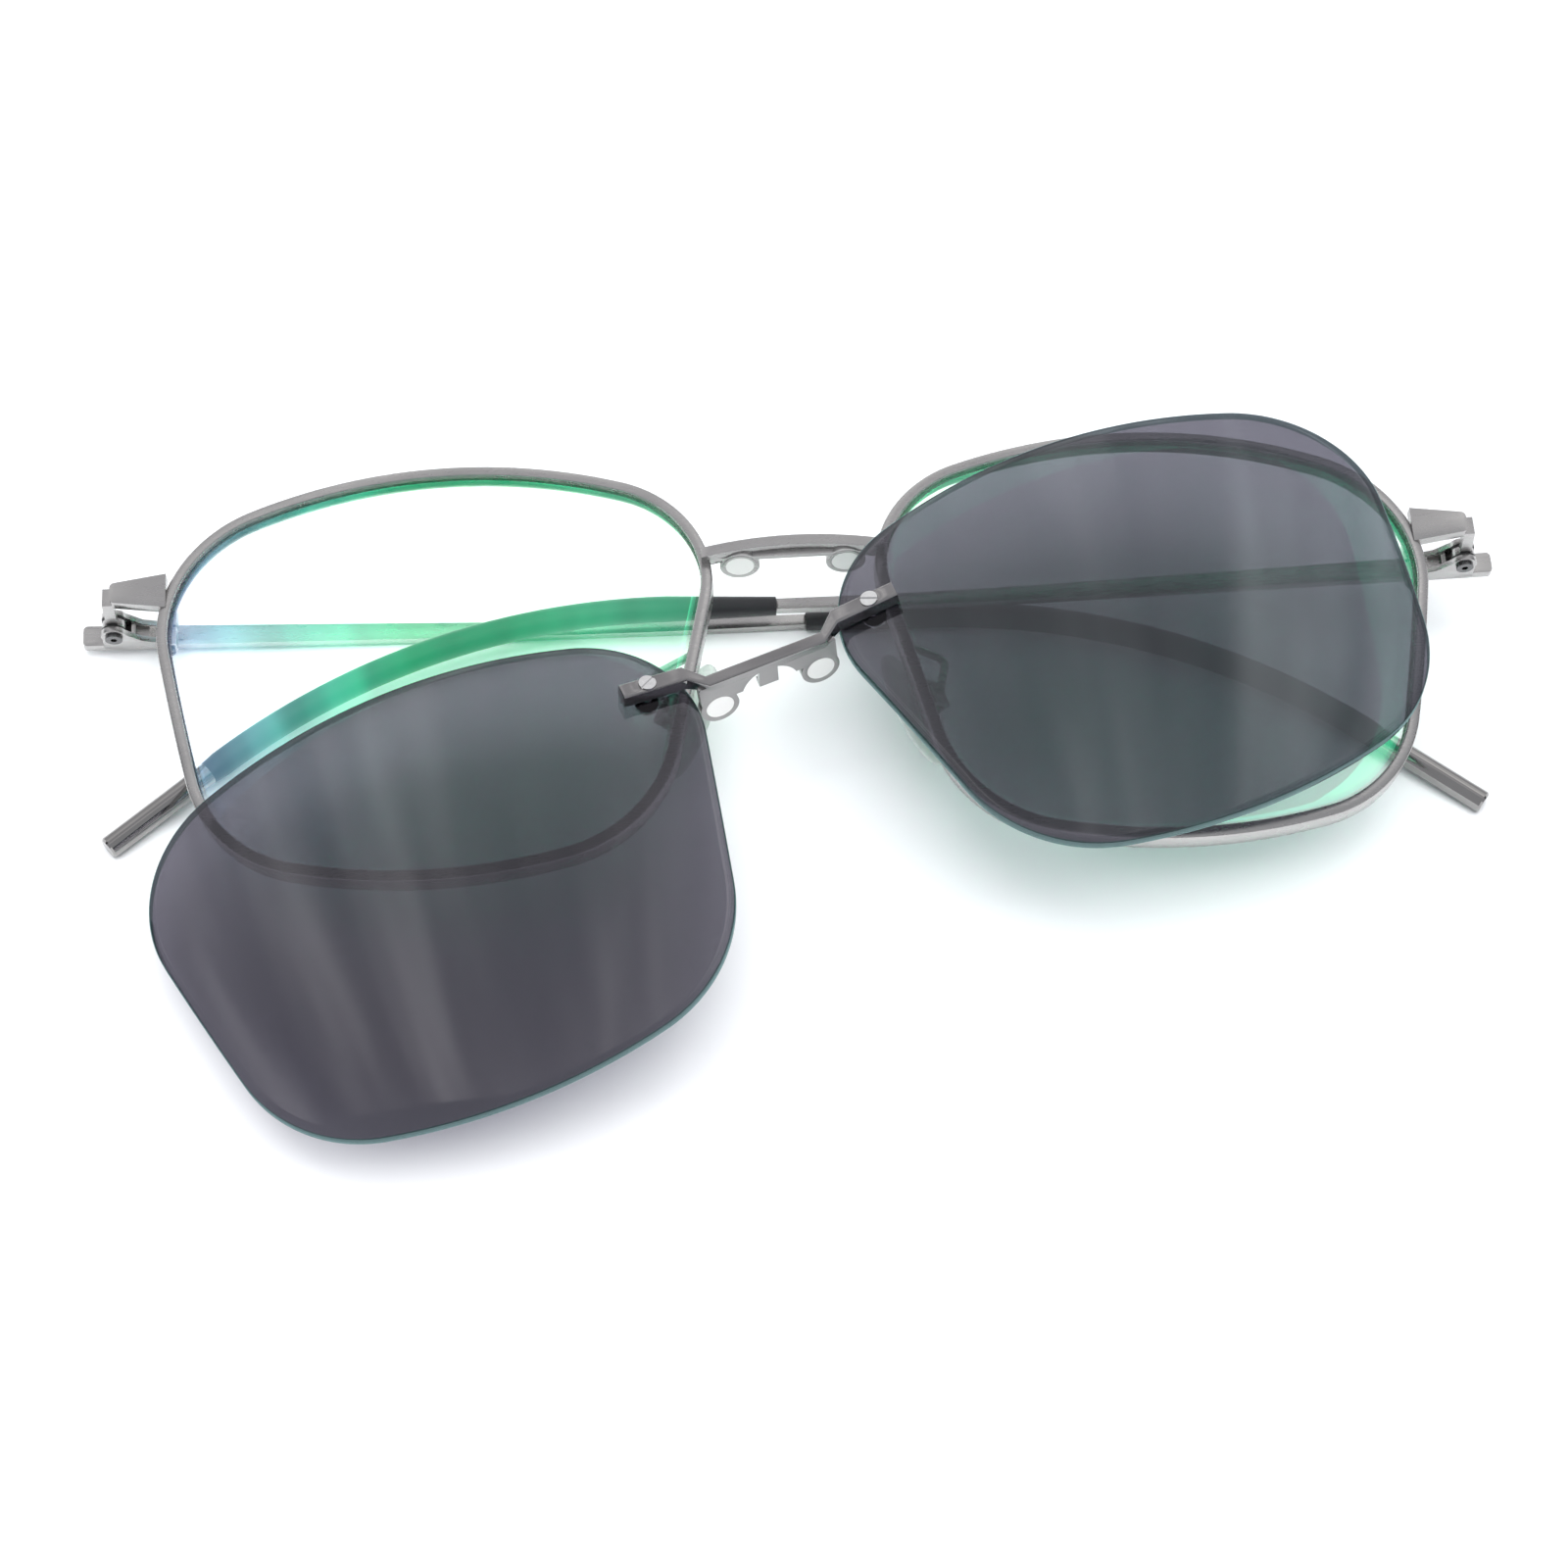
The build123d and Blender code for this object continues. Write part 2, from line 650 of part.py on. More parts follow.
def make_clip_bridge():
    """Ridge with a stepped end bar over each lens, a magnet shelf behind it and a centre hook."""
    bar = end_bar_plane()
    bar_height_clip = end_bar_top - end_bar_bottom
    ridge_y = (ridge_top + ridge_bottom) / 2
    ridge_z = (ridge_front + ridge_back) / 2
    with BuildPart() as half:
        with BuildSketch(Plane.YZ):
            with Locations((ridge_y, ridge_z)):
                RectangleRounded(ridge_top - ridge_bottom, ridge_front - ridge_back, 0.3)
        extrude(amount=step_start)
        with BuildSketch(Plane.YZ.offset(step_start)):
            with Locations((ridge_y, ridge_z)):
                RectangleRounded(ridge_top - ridge_bottom, ridge_front - ridge_back, 0.3)
        inner = end_bar_start - clip_screw_x
        with BuildSketch(Plane(origin=bar.from_local_coords((inner, 0, 0)), x_dir=bar.y_dir,
                               z_dir=bar.x_dir)):
            with Locations((0, end_bar_thickness / 2)):
                RectangleRounded(bar_height_clip, end_bar_thickness, 0.3)
        loft()
        with BuildSketch(Plane(origin=bar.from_local_coords((inner, 0, 0)), x_dir=bar.y_dir,
                               z_dir=bar.x_dir)):
            with Locations((0, end_bar_thickness / 2)):
                RectangleRounded(bar_height_clip, end_bar_thickness, 0.3)
        extrude(amount=end_bar_end - end_bar_start)
        with BuildSketch(bar):
            Circle(clip_screw_radius + pin_clearance)
        extrude(amount=2 * end_bar_thickness, mode=Mode.SUBTRACT)
        with BuildSketch(bar.offset(end_bar_thickness - 0.1)):
            Circle(clip_screw_head_radius + pin_clearance)
        extrude(amount=end_bar_thickness, mode=Mode.SUBTRACT)
    with BuildPart() as bridge:
        add(half.part)
        mirror(about=Plane.YZ)
        with BuildSketch(shelf_plane(clip_seat_y)):
            add(shelf_plan(clip_shelf_half_width, ridge_z))
        extrude(amount=clip_shelf_thickness)
        with BuildSketch(shelf_plane(clip_seat_y)):
            with Locations((-magnet_x, 0), (magnet_x, 0)):
                Circle(magnet_radius + magnet_fit)
        extrude(amount=clip_shelf_thickness, mode=Mode.SUBTRACT)
        with BuildSketch(Plane.YZ.offset(-hook_width / 2)):
            with BuildLine():
                Polyline((ridge_bottom, ridge_z), (ridge_bottom, ridge_front - hook_reach),
                         (ridge_bottom + hook_rise, ridge_front - hook_reach),
                         (ridge_bottom + hook_rise, ridge_front - hook_reach + hook_thickness),
                         (ridge_bottom + hook_thickness, ridge_front - hook_reach + hook_thickness),
                         (ridge_bottom + hook_thickness, ridge_z), close=True)
            make_face()
        extrude(amount=hook_width)
        curl = bridge.edges().filter_by(Axis.X).sort_by_distance(
            Vector(0, ridge_bottom, ridge_front - hook_reach))[0]
        fillet(curl, 0.45)
    return bridge.part


def make_clip_screw():
    """Slotted screw through the end bar and the lens."""
    bar = end_bar_plane()
    seat = end_bar_thickness - 0.1
    tail = clip_lens_thickness + clip_washer_thickness + clip_nut_thickness + 0.1
    with BuildPart() as screw:
        with BuildSketch(bar.offset(-tail)):
            Circle(clip_screw_radius)
        extrude(amount=tail + seat)
        with BuildSketch(bar.offset(seat)):
            Circle(clip_screw_head_radius)
        extrude(amount=clip_screw_head)
        with BuildSketch(bar.offset(seat + clip_screw_head)):
            Rectangle(0.22, 3 * clip_screw_head_radius, rotation=60)
        extrude(amount=-0.15, mode=Mode.SUBTRACT)
    return screw.part


def make_clip_nut():
    """Round nut behind the lens, threaded on the screw."""
    bar = end_bar_plane()
    start = -end_bar_gap - clip_lens_thickness - clip_washer_thickness - seat_gap - 0.02
    with BuildPart() as nut:
        with BuildSketch(bar.offset(start)):
            RegularPolygon(clip_nut_radius, 6)
            Circle(clip_screw_radius + 0.01, mode=Mode.SUBTRACT)
        extrude(amount=-clip_nut_thickness)
    return nut.part


def make_clip_washer():
    bar = end_bar_plane()
    with BuildPart() as washer:
        with BuildSketch(bar.offset(-end_bar_gap - clip_lens_thickness - seat_gap)):
            Circle(clip_nut_radius)
            Circle(clip_screw_radius + pin_clearance, mode=Mode.SUBTRACT)
        extrude(amount=-clip_washer_thickness)
    return washer.part


def mirrored(shape):
    return mirror(shape, about=Plane.YZ)


# ---- where each group lies, in the front's axes ----
lay_down = Location((0, 0, 0), (0, -front_roll, 0)) * Location((0, 0, 0), (front_pitch, 0, 0))
left_hinge = Location((-hinge_x, hinge_y, hinge_back), (0, left_fold_open, 0))
right_hinge = Location((hinge_x, hinge_y, hinge_back), (0, -right_fold_open, 0))
clip_seat = Location((0, clip_drop, -clip_lens_front))
clip_rest = Location((clip_x, clip_y, clip_z), (clip_tilt, clip_side_tilt, clip_turn)) * clip_seat

right_side = {"rim": make_rim(), "lens": make_lens(), "end_piece": make_end_piece(),
              "rim_lock": make_rim_lock(), "rim_screw": make_rim_screw(),
              "pad_arm": make_pad_arm(), "pad_screw": make_pad_screw(), "nose_pad": make_pad()}
left_temple = {"temple": make_temple(), "temple_sleeve": make_sleeve(), "temple_cap": make_cap(),
               "hinge_screw": make_hinge_screw(), "hinge_washers": make_hinge_washers()}
right_clip = {"lens": make_clip_lens(), "screw": make_clip_screw(), "nut": make_clip_nut(),
              "washer": make_clip_washer()}

pieces = {"bridge": make_bridge(),
          "clip_bridge": clip_rest * make_clip_bridge(),
          "left_bridge_magnet": make_magnet(shelf_seat_y, -1, bezel_proud),
          "right_bridge_magnet": make_magnet(shelf_seat_y, 1, bezel_proud),
          "clip_left_magnet": clip_rest * make_magnet(clip_seat_y, -1),
          "clip_right_magnet": clip_rest * make_magnet(clip_seat_y, 1)}
for name, shape in right_side.items():
    pieces["right_" + name] = shape
    pieces["left_" + name] = mirrored(shape)
for name, shape in left_temple.items():
    pieces["left_" + name] = left_hinge * shape
    pieces["right_" + name] = right_hinge * mirrored(shape)
for name, shape in right_clip.items():
    pieces["clip_right_" + name] = clip_rest * shape
    pieces["clip_left_" + name] = clip_rest * mirrored(shape)

laid = {name: lay_down * shape for name, shape in pieces.items()}
box = Compound(children=[shape.moved(Location()) for shape in laid.values()]).bounding_box()
to_table = Location((-box.center().X, -box.center().Y, -box.min.Z))

os.makedirs("parts", exist_ok=True)
for name, shape in laid.items():
    piece = to_table * shape
    piece.label = name
    export_step(piece, f"parts/{name}.step")
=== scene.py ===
# %% [markdown]
# # A folded metal spectacle frame with a magnetic clip-on
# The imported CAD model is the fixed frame: it says where every piece is and which body it moves
# with. Most of the metal, the magnets, the screws and the black plastics keep their CAD shape and
# get better edges and finishes. The lenses, the rims and the soft nose pads are built again as
# smooth surfaces, because a lens shows every facet in its reflection.

# %% Load the frame
import json
import bpy
import numpy as np
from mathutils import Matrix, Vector


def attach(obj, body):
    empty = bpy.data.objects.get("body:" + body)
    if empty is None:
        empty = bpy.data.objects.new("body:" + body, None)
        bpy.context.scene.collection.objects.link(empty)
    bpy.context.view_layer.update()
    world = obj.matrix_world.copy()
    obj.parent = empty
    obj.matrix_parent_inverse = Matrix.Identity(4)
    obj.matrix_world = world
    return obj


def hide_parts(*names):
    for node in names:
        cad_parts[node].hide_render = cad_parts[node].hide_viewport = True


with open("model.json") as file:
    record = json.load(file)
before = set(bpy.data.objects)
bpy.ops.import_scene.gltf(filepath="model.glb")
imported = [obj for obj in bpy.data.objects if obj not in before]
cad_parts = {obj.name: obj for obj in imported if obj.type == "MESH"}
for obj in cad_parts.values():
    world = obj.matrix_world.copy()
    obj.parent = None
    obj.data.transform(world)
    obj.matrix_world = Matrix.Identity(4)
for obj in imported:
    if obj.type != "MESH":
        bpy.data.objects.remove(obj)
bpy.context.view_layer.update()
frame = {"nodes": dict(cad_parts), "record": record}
record = frame["record"]

# %% [markdown]
# The front lies tilted on the table, so its own axes come from the record: the temple hinges give
# the direction up the lenses and the clip's lift gives the direction out of them. The clip-on is
# turned on the front, and the faces of its two magnets give its axes in the same way.

# %% Axes of the front and of the clip-on
MM = 0.001
joint = {j["name"]: j for j in record["behaviour"]["joints"]}
mount = {m["name"]: m for m in record["mounts"]}


def unit(v):
    """A vector divided by its own length."""
    return np.asarray(v, float) / np.linalg.norm(v)


front_up = unit(joint["left_temple_hinge"]["axis"])
front_out = unit(joint["clip_lift"]["axis"])
front_right = np.cross(front_up, front_out)
hinge_mid = (np.array(joint["left_temple_hinge"]["pos_m"])
             + np.array(joint["right_temple_hinge"]["pos_m"])) / 2
HINGE_UP, HINGE_BACK = 10.6 * MM, -8.6 * MM  # hinge pins from the middle of the front
front_origin = hinge_mid - HINGE_UP * front_up - HINGE_BACK * front_out
front_axes = np.array([front_right, front_up, front_out])

SHELF_TILT = np.radians(7.0)
clip_left = np.array(mount["clip_left_magnet_face"]["pos_m"])
clip_right_face = np.array(mount["clip_right_magnet_face"]["pos_m"])
shelf_up = unit(mount["clip_right_magnet_face"]["axis"])
clip_x = unit(clip_right_face - clip_left)
across = np.cross(clip_x, shelf_up)
clip_y = np.cos(SHELF_TILT) * shelf_up + np.sin(SHELF_TILT) * across
clip_out = np.cross(clip_x, clip_y)
SEAT_Y, MAGNET_Z, MAGNET_T = 9.6723 * MM, -3.2 * MM, 0.9 * MM  # shelf underside, place, thickness
clip_origin = ((clip_left + clip_right_face) / 2 - SEAT_Y * clip_y - MAGNET_Z * clip_out
               - MAGNET_T * shelf_up)
clip_axes = np.array([clip_x, clip_y, clip_out])
print("clip turned", round(float(np.degrees(np.arccos(clip_x @ front_right))), 1), "degrees")

# %% [markdown]
# Two builders make every new surface. Both take rings of points, each ring a closed curve. A skin
# is closed with one point at each end, as on a lens or a pad. A loop joins its last ring to its
# first, as on a rim.

# %% Surface builders


def add_mesh(name, points, faces):
    """A mesh object from an array of points and lists of faces, smooth shaded."""
    mesh = bpy.data.meshes.new(name)
    mesh.from_pydata(points.tolist(), [], faces)
    mesh.polygons.foreach_set("use_smooth", np.ones(len(mesh.polygons), bool))
    mesh.update()
    made = bpy.data.objects.new(name, mesh)
    bpy.context.scene.collection.objects.link(made)
    return made


def ring_faces(count, around, loop):
    """Quads between neighbouring rings: point k of a ring joins point k + 1 of the next."""
    rows = np.arange(count if loop else count - 1)[:, None]
    cols = np.arange(around)[None, :]
    nxt_row, nxt_col = (rows + 1) % count, (cols + 1) % around
    quads = np.stack([rows * around + cols, rows * around + nxt_col,
                      nxt_row * around + nxt_col, nxt_row * around + cols], -1)
    return quads.reshape(-1, 4)


def skin(name, rings):
    """Rings of shape (count, around, 3), closed by the mean of the first and of the last ring."""
    count, around, _ = rings.shape
    points = np.vstack([rings.reshape(-1, 3), rings[0].mean(0), rings[-1].mean(0)])
    first, last = count * around, count * around + 1
    k = np.arange(around)
    n = (k + 1) % around
    base = (count - 1) * around
    caps = np.vstack([np.stack([np.full(around, first), n, k], -1),
                      np.stack([np.full(around, last), base + k, base + n], -1)])
    return add_mesh(name, points, ring_faces(count, around, False).tolist() + caps.tolist())


def loop(name, rings):
    """Rings of shape (count, around, 3), the last joined to the first."""
    count, around, _ = rings.shape
    return add_mesh(name, rings.reshape(-1, 3), ring_faces(count, around, True).tolist())


# %% [markdown]
# The lens outline is a pillow of four slightly bowed sides with four rounded corners, eight
# circular arcs in all. Working from the arcs keeps it smooth, and moving a point along its arc's
# radius makes the outline larger or smaller without changing its character.

# %% Lens outline
LENS_W, LENS_H, GAP = 52.0 * MM, 42.4 * MM, 18.8 * MM
CURVE = 125.0 * MM
WRAP = np.radians(2.5)
LENS_X = (LENS_W + GAP) / 2
CORNERS = np.array([[0.532, 0.349], [-0.541, 0.373], [-0.397, -0.387], [0.410, -0.377]])
MIDDLES = np.array([[0, 0.514], [-0.473, 0], [0, -0.488], [0.480, 0]])
ROUNDS = np.array([12.2, 10.7, 14.0, 13.0]) * MM


def circle_through(a, b, c):
    """Centre and radius of the circle through three points: equal distances as two equations."""
    rows = 2 * np.array([b - a, c - a])
    centre = np.linalg.solve(rows, np.array([b @ b - a @ a, c @ c - a @ a]))
    return centre, np.linalg.norm(a - centre)


def outline(steps=28):
    """Points and outward normals round the outline: side arc, corner arc, and so on.

    A corner's centre is as far from each side's centre as the side's radius less its own.
    """
    size = np.array([LENS_W, LENS_H])
    corners, middles = CORNERS * size, MIDDLES * size
    sides = [circle_through(corners[i], middles[i], corners[(i + 1) % 4]) for i in range(4)]
    rounds = []
    for i in range(4):
        (c0, r0), (c1, r1) = sides[i - 1], sides[i]
        d0, d1 = r0 - ROUNDS[i], r1 - ROUNDS[i]
        span = np.linalg.norm(c1 - c0)
        along = (d0 ** 2 - d1 ** 2 + span ** 2) / (2 * span)
        off = np.sqrt(d0 ** 2 - along ** 2)
        ex = (c1 - c0) / span
        ey = np.array([-ex[1], ex[0]])
        pair = [c0 + along * ex + s * off * ey for s in (-1, 1)]
        rounds.append(min(pair, key=lambda q: np.linalg.norm(q - corners[i])))
    points, normals = [], []
    share = np.arange(steps) / steps
    for i in range(4):
        centre, radius = sides[i]
        arcs = [(rounds[i], ROUNDS[i], unit(rounds[i] - sides[i - 1][0]),
                 unit(rounds[i] - centre)),
                (centre, radius, unit(rounds[i] - centre), unit(rounds[(i + 1) % 4] - centre))]
        for mid, r, start, end in arcs:
            a0 = np.arctan2(start[1], start[0])
            turn = (np.arctan2(end[1], end[0]) - a0 + np.pi) % (2 * np.pi) - np.pi
            angle = a0 + turn * share
            n = np.stack([np.cos(angle), np.sin(angle)], -1)
            points.append(mid + r * n)
            normals.append(n)
    return np.vstack(points), np.vstack(normals)


EDGE, EDGE_N = outline()
print("outline", len(EDGE), "points,", np.round(np.ptp(EDGE, axis=0) / MM, 1), "mm")


def on_front(local, side, origin, axes, drop=0.0, forward=0.0):
    """Lens coordinates to the object's frame: turn by the wrap, shift, mirror, place."""
    x, y, z = local[..., 0], local[..., 1], local[..., 2]
    placed = np.stack([side * (LENS_X + np.cos(WRAP) * x + np.sin(WRAP) * z), y - drop,
                       forward - np.sin(WRAP) * x + np.cos(WRAP) * z], -1)
    return origin + placed @ axes


def dome(xy, depth):
    """Height of a spherical shell over the lens plane, the given distance in front of its curve."""
    radius = CURVE + depth
    return np.sqrt(radius ** 2 - (xy ** 2).sum(-1)) - CURVE


def shell_ring(xy, depth):
    """A flat ring of points lifted onto the spherical shell of that depth."""
    return np.column_stack([xy, dome(xy, depth)])


# %% [markdown]
# Each lens is a thin meniscus: a spherical front, a spherical back with the same centre and an
# edge between them. The frame lenses carry a raised bevel that sits in the groove of the rim, and
# the clip-on's lenses have a plain polished edge with small chamfers. One list of stations runs
# from the front's centre, over the edge, to the back's centre.

# %% Lenses
INNER = np.linspace(0.04, 0.97, 22)  # shares of the outline for the rings of a face


def lens(name, side, origin, axes, stations, drop=0.0, forward=0.0):
    """Rings at shares of the outline for front and back, and (growth, depth) pairs at the edge."""
    first, last = stations[0], stations[-1]
    rings = [shell_ring(share * (EDGE + first[0] * EDGE_N), first[1]) for share in INNER]
    rings += [shell_ring(EDGE + grow * EDGE_N, depth) for grow, depth in stations]
    rings += [shell_ring(share * (EDGE + last[0] * EDGE_N), last[1]) for share in INNER[::-1]]
    rings = on_front(np.array(rings), side, origin, axes, drop, forward)
    made = skin(name, rings if side < 0 else rings[:, ::-1])
    edge_faces = np.zeros(len(made.data.polygons), np.int32)
    around = len(EDGE)
    edge_faces[len(INNER) * around:(len(INNER) + len(stations) - 1) * around] = 1
    made.data.polygons.foreach_set("material_index", edge_faces)
    return made


BEVELLED = [(s * MM, d * MM) for s, d in ((-0.25, 0), (-0.25, -0.5), (-0.01, -0.62), (-0.01, -1.18),
                                          (-0.25, -1.3), (-0.25, -1.8))]
PLAIN = [(g * MM, d * MM) for g, d in ((1.08, 0), (1.2, -0.1), (1.2, -0.9), (1.08, -1.0))]
CLIP_FORWARD, CLIP_DROP = 1.9 * MM, 0.45 * MM
lenses = {}
for label, side in (("left", -1), ("right", 1)):
    made = lens(f"{label}_clear_lens", side, front_origin, front_axes, BEVELLED)
    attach(made, "front")
    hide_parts(f"{label}_lens")
    lenses[label] = made
    made = lens(f"{label}_tinted_lens", side, clip_origin, clip_axes, PLAIN, CLIP_DROP,
                CLIP_FORWARD)
    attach(made, "clip")
    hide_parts(f"clip_{label}_lens")
    lenses["clip_" + label] = made
for name, made in lenses.items():
    print(name, len(made.data.polygons), "faces")

# %% [markdown]
# A rim is one grooved wire bent round the lens. Its section is a list of places outside the
# outline and behind the curve: a slightly crowned front, two flat sides, and the groove that holds
# the bevel. Carrying that section round the outline makes the whole rim.

# %% Rims
RIM = [(g * MM, d * MM) for g, d in (
    (-0.2, -0.42), (-0.2, 0.18), (-0.14, 0.26), (-0.05, 0.3), (0.35, 0.32), (0.72, 0.3),
    (0.84, 0.25), (0.9, 0.16), (0.9, -1.95), (0.84, -2.06), (0.72, -2.1), (-0.08, -2.1),
    (-0.2, -2.0), (-0.2, -1.4), (0.05, -1.28), (0.05, -0.54))]
rims = {}
for label, side in (("left", -1), ("right", 1)):
    rings = np.array([shell_ring(EDGE + grow * EDGE_N, depth) for grow, depth in RIM])
    rings = on_front(rings, side, front_origin, front_axes)
    made = loop(f"{label}_rim_wire", rings if side < 0 else rings[:, ::-1])
    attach(made, "front")
    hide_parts(f"{label}_rim")
    rims[label] = made

# %% [markdown]
# A nose pad is soft silicone, moulded as an oval cushion with a full edge and a small stem. Rings
# of an ellipse shrink towards both faces like the edge of a coin that has been rounded over.

# %% Nose pads
PAD_AT = np.array([10.9, -3.8, -7.6]) * MM
SPLAY, TURN = np.radians(19.0), np.radians(35.0)
PAD_W, PAD_L, PAD_T = 3.27 * MM, 6.37 * MM, 0.83 * MM
STEM_W, STEM_END = 0.74 * MM, -2.54 * MM
pad_face = np.array([-np.cos(SPLAY) * np.cos(TURN), -np.sin(SPLAY) * np.cos(TURN), -np.sin(TURN)])
pad_up = np.array([-np.sin(SPLAY), np.cos(SPLAY), 0])
pad_x = np.cross(pad_up, pad_face)
round_angle = np.linspace(0, 2 * np.pi, 72, endpoint=False)
circle = np.stack([np.cos(round_angle), np.sin(round_angle)], -1)
swell = np.linspace(np.pi / 2, -np.pi / 2, 25)[1:-1]
for label, side in (("left", -1), ("right", 1)):
    rings = []
    for a in swell:
        spread = np.abs(np.cos(a)) ** 0.42
        height = PAD_T * np.sign(np.sin(a)) * np.abs(np.sin(a)) ** 0.75
        ring = circle * np.array([PAD_W, PAD_L]) * spread
        rings.append(np.column_stack([ring, np.full(len(ring), height)]))
    for down in np.linspace(-PAD_T, STEM_END, 5):
        square = circle / np.maximum(np.abs(circle).max(1, keepdims=True), 0.75)
        rings.append(np.column_stack([square * STEM_W, np.full(len(square), down)]))
    rings = np.array(rings)
    local = PAD_AT + rings @ np.array([pad_x, pad_up, pad_face])
    local = local * np.array([side, 1, 1])
    placed = front_origin + local @ front_axes
    pad = skin(f"{label}_silicone_pad", placed if side > 0 else placed[:, ::-1])
    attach(pad, f"{label}_pad")
    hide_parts(f"{label}_nose_pad")
    print(pad.name, len(pad.data.polygons), "faces")

# %% [markdown]
# The remaining metal is right as it is, but a CAD mesh is loose triangles with perfectly sharp
# edges. Welding the points, rounding the sharp edges by a few hundredths of a millimetre and
# splitting only where faces still meet sharply gives the thin highlights that plated wire has.

# %% Edges of the CAD pieces
WELD_WIDTH = 1e-6
ROUND_ABOVE, SPLIT_ABOVE = np.radians(40), np.radians(32)
EDGE_WIDTH = {"left_temple": 0.07, "right_temple": 0.07, "clip_bridge": 0.06, "bridge": 0.05,
              "left_end_piece": 0.08, "right_end_piece": 0.08, "left_rim_lock": 0.08,
              "right_rim_lock": 0.08}
shown = [n for n, o in frame["nodes"].items() if not o.hide_render]
for name in shown:
    node = frame["nodes"][name]
    node.data.polygons.foreach_set("use_smooth", np.ones(len(node.data.polygons), bool))
    if node.data.has_custom_normals:
        bpy.context.view_layer.objects.active = node
        with bpy.context.temp_override(object=node, active_object=node):
            bpy.ops.mesh.customdata_custom_splitnormals_clear()
    weld = node.modifiers.new("weld", "WELD")
    weld.merge_threshold = WELD_WIDTH
    if name in EDGE_WIDTH:
        bevel = node.modifiers.new("edge", "BEVEL")
        bevel.width = EDGE_WIDTH[name] * MM
        bevel.segments = 2
        bevel.limit_method = "ANGLE"
        bevel.angle_limit = ROUND_ABOVE
        bevel.use_clamp_overlap = True
    split = node.modifiers.new("split", "EDGE_SPLIT")
    split.split_angle = SPLIT_ABOVE
print(len(shown), "CAD pieces keep their shape")

# %% [markdown]
# Every finish is a small graph of nodes. The helper below makes a metal whose roughness and
# height wander a little, because plating over drawn wire is never even: long shallow draw marks
# and a fine grain under a thin dark film.

# %% Node helpers


def new_material(name):
    """A material with nothing in its node tree but the output."""
    made = bpy.data.materials.new(name)
    made.use_nodes = True
    tree = made.node_tree
    tree.nodes.clear()
    return made, tree, tree.nodes.new("ShaderNodeOutputMaterial")


def noise(tree, scale, detail=3.0, stretch=(1, 1, 1)):
    """Noise over Object coordinates, stretched along the axes."""
    coords = tree.nodes.new("ShaderNodeTexCoord")
    mapping = tree.nodes.new("ShaderNodeMapping")
    mapping.inputs["Scale"].default_value = stretch
    tree.links.new(coords.outputs["Object"], mapping.inputs["Vector"])
    made = tree.nodes.new("ShaderNodeTexNoise")
    made.inputs["Scale"].default_value = scale
    made.inputs["Detail"].default_value = detail
    tree.links.new(mapping.outputs["Vector"], made.inputs["Vector"])
    return made.outputs["Fac"]


def span(tree, value, low_out, high_out, low_in=0.3, high_in=0.7):
    """Maps a value's range onto another range."""
    made = tree.nodes.new("ShaderNodeMapRange")
    for key, number in (("From Min", low_in), ("From Max", high_in), ("To Min", low_out),
                        ("To Max", high_out)):
        made.inputs[key].default_value = number
    tree.links.new(value, made.inputs["Value"])
    return made.outputs["Result"]


def tint(tree, value, colours):
    """A colour ramp with evenly spaced colours."""
    ramp = tree.nodes.new("ShaderNodeValToRGB")
    while len(ramp.color_ramp.elements) < len(colours):
        ramp.color_ramp.elements.new(1.0)
    for k, colour in enumerate(colours):
        ramp.color_ramp.elements[k].position = k / (len(colours) - 1)
        ramp.color_ramp.elements[k].color = (*colour, 1)
    tree.links.new(value, ramp.inputs["Fac"])
    return ramp.outputs["Color"]


def bump(tree, value, strength, distance):
    """A normal tipped by a height map, in metres of height."""
    made = tree.nodes.new("ShaderNodeBump")
    made.inputs["Strength"].default_value = strength
    made.inputs["Distance"].default_value = distance
    tree.links.new(value, made.inputs["Height"])
    return made.outputs["Normal"]


def metal(name, dark, light, rough_low, rough_high, stretch=(0.15, 1, 1), height=0.000004):
    """Plated metal: metallic base between two greys, wandering roughness, fine draw marks."""
    made, tree, out = new_material(name)
    shader = tree.nodes.new("ShaderNodeBsdfPrincipled")
    shader.inputs["Metallic"].default_value = 1.0
    cloud = noise(tree, 260, 4)
    marks = noise(tree, 2600, 2, stretch)
    tree.links.new(tint(tree, cloud, [dark, light]), shader.inputs["Base Color"])
    tree.links.new(span(tree, marks, rough_low, rough_high), shader.inputs["Roughness"])
    tree.links.new(bump(tree, marks, 0.1, height), shader.inputs["Normal"])
    tree.links.new(shader.outputs["BSDF"], out.inputs["Surface"])
    return made


gunmetal = metal("satin_gunmetal", (0.40, 0.392, 0.385), (0.50, 0.49, 0.48), 0.24, 0.34)
polished = metal("polished_gunmetal", (0.27, 0.262, 0.255), (0.34, 0.332, 0.325), 0.06, 0.13)
clip_plate = metal("clip_gunmetal", (0.27, 0.262, 0.26), (0.35, 0.342, 0.34), 0.10, 0.20)
bright = metal("bright_screw_steel", (0.70, 0.70, 0.70), (0.82, 0.82, 0.81), 0.12, 0.24, (1, 1, 1))
dark_screw = metal("dark_screw_steel", (0.12, 0.12, 0.125), (0.18, 0.18, 0.18), 0.2, 0.34,
                   (1, 1, 1))
nickel = metal("magnet_nickel", (0.80, 0.79, 0.77), (0.88, 0.87, 0.85), 0.3, 0.42, (1, 1, 1))

print("metals:", gunmetal.name, polished.name, clip_plate.name, bright.name, dark_screw.name,
      nickel.name)

# %% [markdown]
# The sleeves over the ear section are matt black mouldings and the hinge washers are black nylon.
# Both are nearly black with a soft sheen, told apart by their grain.

# %% Black plastics


